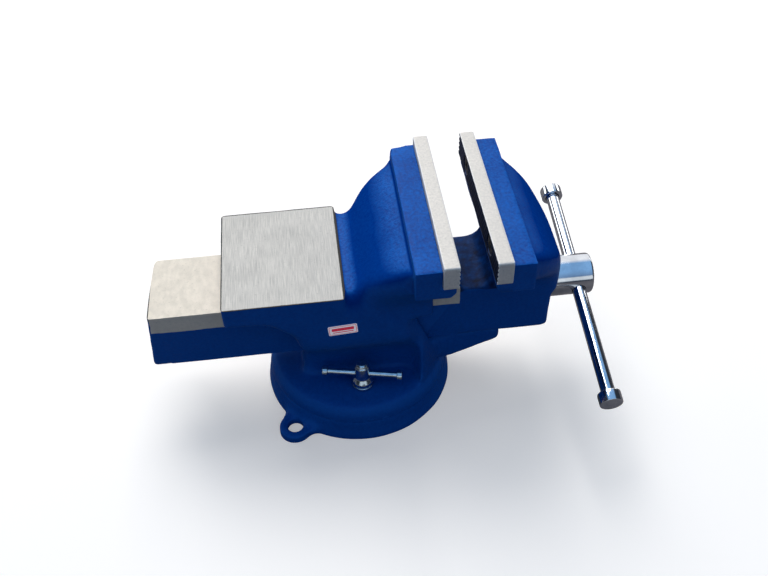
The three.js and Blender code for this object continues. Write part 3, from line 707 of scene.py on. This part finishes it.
def make_plate(name, body, node, face, side):
    """A jaw plate. side is +1 when its gripping face looks along +X. The face has grooves along Y."""
    back = face - side * PLATE_DEPTH
    line = [(back, PLATE_LOW), (face, PLATE_LOW)]
    for k in range(1, 5):
        z = PLATE_LOW + k * TOOTH_PITCH
        deep = face - side * GROOVE_DEPTH
        line += [(face, z - 1.0), (deep, z - 0.15), (deep, z + 0.15), (face, z + 1.0)]
    line += [(face, PLATE_HIGH), (back, PLATE_HIGH)]
    obj = prism_tool(line, -PLATE_HALF, PLATE_HALF)
    obj.name = name
    low, high = min(face, back), max(face, back)
    carve(obj, round_ended(PLATE_HALF, PLATE_LOW, PLATE_HIGH, 1.6, low - 1, high + 1), operation="INTERSECT")
    for y in (-SCREW_SPREAD, SCREW_SPREAD):
        sink = sorted((face + side, face - side * 5.2))
        carve(obj, round_tool("x", (0, y, PLATE_MIDDLE), 7.3, *sink),
              round_tool("x", (0, y, PLATE_MIDDLE), 4.6, low - 2, high + 2))
    reskin(obj, PLATE_VOXEL)
    co = coords(obj.data)
    co = relaxed(co, neighbours(obj.data), 3, np.full(len(co), 0.5))
    co = co + vertex_normals(obj.data) * (waves(co, 31, 0.02) * 0.03 * MM)[:, None]
    corners = np.array(((low, -PLATE_HALF, PLATE_LOW), (high, PLATE_HALF, PLATE_HIGH))) * MM
    set_coords(obj.data, np.clip(co, *corners))
    store_edges(obj.data)
    finish_mesh(obj, body, [PLATE_STEEL, GRIP_STEEL_WITH_REFLECTION], [node])
    mark_grip(obj.data, face, side)


def make_plate_screw(name, body, node, face, side, y):
    """A socket head screw in a jaw plate, its head towards side."""
    inwards = Matrix.Rotation(side * math.pi / 2, 4, "Y")
    place = Matrix.Translation(Vector((face, y, PLATE_MIDDLE)) * MM) @ inwards
    head = eased([(0, -24), (4, -24), (4, -4.9), (6.8, -4.9), (6.8, -0.6), (0, -0.6)], 0.5)
    obj = turned(name, head, place, 64)
    socket = turned("tool", [(0, -3.4), (3.2, -3.4), (3.2, 1), (0, 1)], place, 6)
    carve(obj, socket)
    finish_mesh(obj, body, [DARK_STEEL], [node])


# ------------------------------------------------------------------ screw, tommy bar and washer
SPINDLE_RADIUS = 11.5
THREAD_PITCH = 6
THREAD_DEPTH = 2.6
THREAD_LOW, THREAD_HIGH = -134.9, 120
HEAD_LOW, HEAD_HIGH = 151.5, 188.5
HEAD_RADIUS = 16
ROW_STEP = 0.45  # between the rows of points that the thread is pressed into
ALONG_SCREW = Matrix.Translation((0, 0, SPINDLE_Z * MM)) @ Matrix.Rotation(math.pi / 2, 4, "Y")
BAR_TILT = math.radians(10.9)
BAR_PLACE = (Matrix.Translation(Vector((176.1, 0, SPINDLE_Z)) * MM) @ Matrix.Rotation(BAR_TILT, 4, "X")
             @ Matrix.Rotation(-math.pi / 2, 4, "X"))
BAR_RADIUS = 5.25
BAR_SHIFT = -14.4  # where the bar's middle stands at rest, along its own axis


def thread_height(turns):
    """Height of a trapezoidal thread, 0 to 1, at a place along it counted in turns."""
    part = turns - np.floor(turns)
    return np.clip(1.6 - abs(part - 0.5) * 5.2, 0.0, 1.0)


def cut_thread(mesh):
    """Presses a helical thread into the rows of the shank between THREAD_LOW and THREAD_HIGH."""
    co = coords(mesh) / MM
    y, z = co[:, 1], co[:, 2] - SPINDLE_Z
    radius = np.hypot(y, z)
    run_in = ramp(co[:, 0], THREAD_LOW, THREAD_LOW + 4) * (1 - ramp(co[:, 0], THREAD_HIGH - 4, THREAD_HIGH))
    on_thread = (co[:, 0] > THREAD_LOW + 2) & (co[:, 0] < THREAD_HIGH) & (radius > 1)
    turns = co[:, 0] / THREAD_PITCH - np.arctan2(z, y) / (2 * np.pi)
    sunk = THREAD_DEPTH * (1 - thread_height(turns)) * run_in
    scale = np.where(on_thread, 1 - sunk / np.maximum(radius, 1), 1.0)
    co[:, 1] = y * scale
    co[:, 2] = SPINDLE_Z + z * scale
    set_coords(mesh, co * MM)


def make_spindle():
    """The clamping screw: threaded shank, chromed head with its cross bore, and the pin's hole."""
    chamfer = 2.5
    shank = [(0, -135), (SPINDLE_RADIUS - chamfer, -135)]
    count = round((THREAD_HIGH - THREAD_LOW - chamfer) / ROW_STEP)
    for i in range(count + 1):
        shank.append((SPINDLE_RADIUS, THREAD_LOW + chamfer + ROW_STEP * i))
    shoulder = [(SPINDLE_RADIUS, HEAD_LOW - 0.1), (HEAD_RADIUS, HEAD_LOW), (HEAD_RADIUS, HEAD_LOW + 2)]
    nose = eased(shoulder, 0.9)
    drum = [(HEAD_RADIUS, HEAD_LOW + 3 + i) for i in range(28)]
    edge = [(HEAD_RADIUS, HEAD_HIGH - 5), (HEAD_RADIUS, HEAD_HIGH - 0.6)]
    end = [*edge, (9, HEAD_HIGH - 0.1), (0, HEAD_HIGH)]
    crown = eased(end, 4.2, 8)
    obj = turned("screw_spindle", [*shank, (SPINDLE_RADIUS, 149), *nose, *drum, *crown], ALONG_SCREW)
    cut_thread(obj.data)
    bore = turned("tool", [(0, -40), (BAR_RADIUS + 0.4, -40), (BAR_RADIUS + 0.4, 40), (0, 40)], BAR_PLACE, 64)
    carve(obj, bore, round_tool("z", (123.6, 0, 0), 2.8, 60, 120))
    finish_mesh(obj, "screw", [CHROME], ["spindle"], 28)


def make_washer():
    """The washer between the screw's head and the moving jaw."""
    ring = [(12, 149.2), (15.6, 149.2), (15.6, 151.2), (12, 151.2)]
    profile = eased([*ring, ring[0]], 0.35)
    obj = turned("spindle_washer", [*profile, profile[0]], ALONG_SCREW)
    weld(obj)
    finish_mesh(obj, "jaw", [ZINC], ["thrust_washer"])


def make_bar():
    """The sliding handle and its two end knobs. The rod has rows along it for the reflections."""
    reach = 102.2
    half = 97.2
    shift = BAR_PLACE @ Matrix.Translation((0, 0, BAR_SHIFT * MM))
    rod = eased([(0, -half), (BAR_RADIUS, -half), (BAR_RADIUS, half), (0, half)], 0.4)
    rows = [*rod[:6], *[(BAR_RADIUS, height) for height in range(-90, 91, 10)], *rod[6:]]
    finish_mesh(turned("handle_bar", rows, shift, 64), "handle", [CHROME], ["tommy_bar"])
    for name, way in (("near", -1), ("far", 1)):
        inner = reach - 9.4
        socket = [(0, inner + 4.6), (BAR_RADIUS + 0.3, inner + 4.6), (BAR_RADIUS + 0.3, inner)]
        rim = [(8.7, inner), (8.7, reach - 0.3), (6.4, reach), (6.1, reach - 0.25)]
        knob = [*socket, *rim, (3.6, reach - 0.25), (3.3, reach - 0.05), (0, reach)]
        place = shift if way > 0 else shift @ Matrix.Rotation(math.pi, 4, "X")
        obj = turned(f"handle_knob_{name}", eased(knob, 1.0, 5), place)
        finish_mesh(obj, "handle", [CHROME], [f"tommy_knob_{name}"])


# ------------------------------------------------------------------ lock bolts
LOCK_BAR_Z = 44.7
LOCK_BAR_ANGLE = math.radians(-12.2)
LOCK_BAR_RADIUS = 2.6
LOCK_BAR_HALF = 30.3


def make_lock(where, side):
    """A swivel lock: washer, six-sided nut with a round top, its cross bar and the bar's two caps."""
    upright = Matrix.Translation((0, side * BOLT_CIRCLE * MM, 0))
    along = (upright @ Matrix.Rotation(LOCK_BAR_ANGLE, 4, "Z") @ Matrix.Translation((0, 0, LOCK_BAR_Z * MM))
             @ Matrix.Rotation(math.pi / 2, 4, "Y"))
    ring = eased([(5, 32.3), (8.7, 32.3), (8.7, 34.3), (5, 34.3), (5, 32.3)], 0.5)
    washer = turned(f"lock_seat_{where}", [*ring, ring[0]], upright)
    weld(washer)
    finish_mesh(washer, "vise", [ZINC], [f"lock_washer_{where}"])
    foot_rows = [(0, 40.9), (4.8, 40.9), (4.8, 34.6), (8.2, 34.6), (8.2, 37.8)]
    neck_rows = [(5.8, 41.2), (5.8, 53.4), (4.8, 54.3), (4.6, 55.4), (3.4, 56.7), (0, 56.9)]
    nut = turned(f"lock_post_{where}", eased([*foot_rows, *neck_rows], 0.7), upright)
    foot = [(0, 34), (8.4, 34), (9.6, 35.4), (9.6, 37.2), (7.3, 40.4), (7.3, 60), (0, 60)]
    carve(nut, turned("tool", foot, upright, 6), operation="INTERSECT")
    carve(nut, turned("tool", [(0, -20), (2.9, -20), (2.9, 20), (0, 20)], along, 48))
    finish_mesh(nut, f"{where}_lock_nut", [ZINC], [f"lock_nut_{where}"])
    rod = [(0, -LOCK_BAR_HALF), (LOCK_BAR_RADIUS, -LOCK_BAR_HALF), (LOCK_BAR_RADIUS, LOCK_BAR_HALF),
           (0, LOCK_BAR_HALF)]
    bar = turned(f"lock_rod_{where}", eased(rod, 0.3), along, 48)
    finish_mesh(bar, f"{where}_lock_bar", [ZINC], [f"lock_bar_{where}"])
    for name, way in (("left", -1), ("right", 1)):
        cap = [(0, 30.6), (2.9, 30.6), (2.9, 27.2), (4.2, 27.2), (4.2, 31.4), (0, 31.8)]
        place = along if way > 0 else along @ Matrix.Rotation(math.pi, 4, "X")
        obj = turned(f"lock_button_{where}_{name}", eased(cap, 0.7), place, 64)
        finish_mesh(obj, f"{where}_lock_bar", [ZINC], [f"lock_cap_{where}_{name}"])


# ------------------------------------------------------------------ label
LABEL_TILT = math.radians(-4)
LABEL_PLACE = (-12.6, -51.78, 105)


def rounded_loop(half_u, half_v, radius):
    """A rectangle about the origin with rounded corners, as a list of (u, v)."""
    points = []
    corners = ((half_u, -half_v, -90), (half_u, half_v, 0), (-half_u, half_v, 90), (-half_u, -half_v, 180))
    for u, v, start in corners:
        for i in range(6):
            angle = math.radians(start + 18 * i)
            points.append((u - math.copysign(radius, u) + radius * math.cos(angle),
                           v - math.copysign(radius, v) + radius * math.sin(angle)))
    return points


def label_panel(bm, middle, loops, slots):
    """Nested loops of points on the label, joined by strips. Each loop is (half width, half
    height, corner radius, height above the wall); slots are the strips' materials."""
    rings = []
    for half_u, half_v, radius, height in loops:
        ring = []
        for u, v in rounded_loop(half_u, half_v, radius):
            ring.append(bm.verts.new(Vector((u + middle[0], -height, v + middle[1])) * MM))
        rings.append(ring)
    for low, high, slot in zip(rings, rings[1:], slots):
        for i in range(len(low)):
            j = (i + 1) % len(low)
            bm.faces.new((low[i], low[j], high[j], high[i])).material_index = slot
    bm.faces.new(rings[-1]).material_index = slots[-1]
    bm.faces.new(rings[0][::-1])


def make_label():
    """A plain sticker: film with a printed border and two printed bars."""
    bm = bmesh.new()
    panel = [(10.7, 4.7, 1.0, 0.0), (10.7, 4.7, 1.0, 0.22), (10.6, 4.6, 0.9, 0.27), (10.1, 4.1, 0.7, 0.27),
             (9.7, 3.7, 0.6, 0.27)]
    label_panel(bm, (0, 0), panel, [0, 0, 0, 1, 0])
    label_panel(bm, (0, 0.9), [(8.2, 1.5, 0.6, 0.2), (8.2, 1.5, 0.6, 0.31)], [1, 1])
    label_panel(bm, (0, -2.0), [(7.6, 0.4, 0.3, 0.2), (7.6, 0.4, 0.3, 0.31)], [1, 1])
    obj = from_bmesh("side_marker", bm)
    tilt = Matrix.Rotation(LABEL_TILT, 4, "Y")
    obj.data.transform(Matrix.Translation(Vector(LABEL_PLACE) * MM) @ tilt)
    index = np.empty(len(obj.data.polygons), np.int32)
    obj.data.polygons.foreach_get("material_index", index)
    finish_mesh(obj, "vise", [FILM, INK], ["side_label"])
    # Clearing the materials has reset which face has which.
    obj.data.polygons.foreach_set("material_index", index)


# ------------------------------------------------------------------ parts inside the vise
def keep_cad_part(name, material):
    """A part that stays as it is in the CAD, with its edges broken."""
    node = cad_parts[name]
    node.data.materials.clear()
    node.data.materials.append(material)
    bevel = node.modifiers.new("edges", "BEVEL")
    bevel.width = 0.3 * MM
    bevel.segments = 2
    bevel.limit_method = "ANGLE"


make_body()
make_moving_jaw()
make_base()
make_plate("plate_fixed", "vise", "fixed_jaw_plate", FIXED_FACE, 1)
make_plate("plate_moving", "jaw", "moving_jaw_plate", MOVING_FACE, -1)
for where, y in (("near", -SCREW_SPREAD), ("far", SCREW_SPREAD)):
    make_plate_screw(f"screw_fixed_{where}", "vise", f"fixed_plate_screw_{where}", FIXED_FACE, 1, y)
    make_plate_screw(f"screw_moving_{where}", "jaw", f"moving_plate_screw_{where}", MOVING_FACE, -1, y)
make_spindle()
make_washer()
make_bar()
make_lock("near", -1)
make_lock("far", 1)
make_label()
for name in ("spindle_nut", "nut_bolt", "spindle_collar", "collar_pin"):
    keep_cad_part(name, DARK_STEEL)
for name in ("t_bolt_near", "t_bolt_far"):
    keep_cad_part(name, ZINC)


# ------------------------------------------------------------------ floor, light and camera
def make_floor():
    """A pale floor. Rays that bounce off the vise see it darker, as the dim studio round the set."""
    bm = bmesh.new()
    bmesh.ops.create_grid(bm, x_segments=1, y_segments=1, size=6.0)
    floor = from_bmesh("floor", bm)
    n = Nodes("floor")
    soft = n.noise(3, 2, 0.5)
    seen = n.new("ShaderNodeLightPath").outputs["Is Camera Ray"]
    pale = n.mix(soft, (0.78, 0.74, 0.69), (0.80, 0.76, 0.71))
    n.feed(n.shader.inputs["Emission Color"], n.mix(seen, (0.0, 0.0, 0.0), (0.36, 0.34, 0.31)))
    n.shader.inputs["Emission Strength"].default_value = 1.0
    color = n.mix(seen, (0.19, 0.165, 0.155), pale)
    floor.data.materials.append(n.set(color=color, roughness=0.9, specular=0.0))


def make_world():
    """A dim bluish studio with a pale wall behind the vise, which only reflections show."""
    world = bpy.data.worlds.new("studio")
    bpy.context.scene.world = world
    world.use_nodes = True
    tree = world.node_tree
    back = tree.nodes["Background"]
    place = tree.nodes.new("ShaderNodeTexCoord")
    split = tree.nodes.new("ShaderNodeSeparateXYZ")
    tree.links.new(place.outputs["Generated"], split.inputs[0])
    path = tree.nodes.new("ShaderNodeLightPath")

    def sky(*stops):
        """Colours by height: each stop is the sine of the elevation and its colour."""
        node = tree.nodes.new("ShaderNodeValToRGB")
        tree.links.new(split.outputs["Z"], node.inputs[0])
        ends = node.color_ramp.elements
        for element, (height, color) in zip((ends[0], ends[1]), (stops[0], stops[-1])):
            element.position = height
            element.color = (*color, 1)
        for height, color in stops[1:-1]:
            ends.new(height).color = (*color, 1)
        return node.outputs["Color"]

    def limit(value, low, high, share):
        """share where value is past high, nothing where it is before low."""
        node = tree.nodes.new("ShaderNodeMapRange")
        node.inputs["From Min"].default_value = low
        node.inputs["From Max"].default_value = high
        for socket, source in ((node.inputs["Value"], value), (node.inputs["To Max"], share)):
            tree.links.new(source, socket)
        return node.outputs[0]

    def either(share, usual, other):
        """usual where share is 0, other where it is 1."""
        node = tree.nodes.new("ShaderNodeMix")
        node.data_type = "RGBA"
        tree.links.new(share, node.inputs["Factor"])
        for socket, color in ((node.inputs[6], usual), (node.inputs[7], other)):
            if isinstance(color, tuple):
                socket.default_value = (*color, 1)
            else:
                tree.links.new(color, socket)
        return node.outputs[2]

    lit = sky((0.0, (0.12, 0.15, 0.21)), (0.35, (0.17, 0.26, 0.42)), (0.85, (0.20, 0.30, 0.46)))
    mirrored = sky((0.0, (0.05, 0.06, 0.08)), (0.4, (0.15, 0.24, 0.40)), (0.85, (0.23, 0.45, 0.77)))
    sideways = tree.nodes.new("ShaderNodeMath")
    sideways.operation = "ABSOLUTE"
    tree.links.new(split.outputs["X"], sideways.inputs[0])
    glossy = path.outputs["Is Glossy Ray"]
    wall = limit(sideways.outputs[0], 0.62, 0.54, limit(split.outputs["Y"], 0.3, 0.6, glossy))
    wings = limit(sideways.outputs[0], 0.5, 0.64, glossy)
    around = either(wings, either(glossy, lit, mirrored), (0.03, 0.035, 0.045))
    low = limit(split.outputs["Z"], 0.45, 0.38, limit(split.outputs["Z"], 0.06, 0.12, glossy))
    front = limit(split.outputs["Y"], -0.72, -0.82, low)
    seen = either(front, either(wall, around, (0.98, 0.98, 1.0)), (0.75, 0.80, 0.84))
    white = either(path.outputs["Is Camera Ray"], seen, (0.93, 0.93, 0.93))
    tree.links.new(white, back.inputs["Color"])
    back.inputs["Strength"].default_value = 1.0


VISE_MIDDLE = (0, 0, 0.08)


def add_light(name, place, size, power):
    """A square soft light that faces the vise."""
    data = bpy.data.lights.new(name, "AREA")
    data.shape = "SQUARE"
    data.size = size
    data.energy = power
    lamp = bpy.data.objects.new(name, data)
    bpy.context.scene.collection.objects.link(lamp)
    lamp.location = place
    lamp.rotation_mode = "QUATERNION"
    lamp.rotation_quaternion = (Vector(VISE_MIDDLE) - Vector(place)).to_track_quat("-Z", "Y")


CAMERA_PLACE = (-0.02498, -0.49676, 0.59768)
CAMERA_TURN = (-5.56023, 45.42475, -1.69350)  # azimuth, elevation and roll, in degrees
SENSOR_WIDTH = 36
FOCAL_LENGTH = 42.61


def make_camera():
    """The camera, which stands at azimuth and elevation from the vise and leans by roll."""
    azimuth, elevation, roll = (math.radians(angle) for angle in CAMERA_TURN)
    back = Vector((math.sin(azimuth) * math.cos(elevation), -math.cos(azimuth) * math.cos(elevation),
                   math.sin(elevation)))
    right = (-back).cross(Vector((0, 0, 1))).normalized()
    up = right.cross(-back)
    turned_right = right * math.cos(roll) + up * math.sin(roll)
    turned_up = up * math.cos(roll) - right * math.sin(roll)
    data = bpy.data.cameras.new("camera")
    data.sensor_width = SENSOR_WIDTH
    data.lens = FOCAL_LENGTH
    data.clip_start = 0.01
    camera = bpy.data.objects.new("camera", data)
    bpy.context.scene.collection.objects.link(camera)
    turn = Matrix((turned_right, turned_up, back)).transposed().to_4x4()
    camera.matrix_world = Matrix.Translation(CAMERA_PLACE) @ turn
    bpy.context.scene.camera = camera


make_floor()
make_world()
add_light("key", (-0.32, 1.63, 2.5), 2.0, 76)
add_light("card_left", (-2.2, 1.6, 0.9), 0.9, 6)
add_light("card_right", (2.2, 1.6, 0.9), 0.9, 6)
make_camera()
bpy.context.scene.view_settings.view_transform = "Standard"
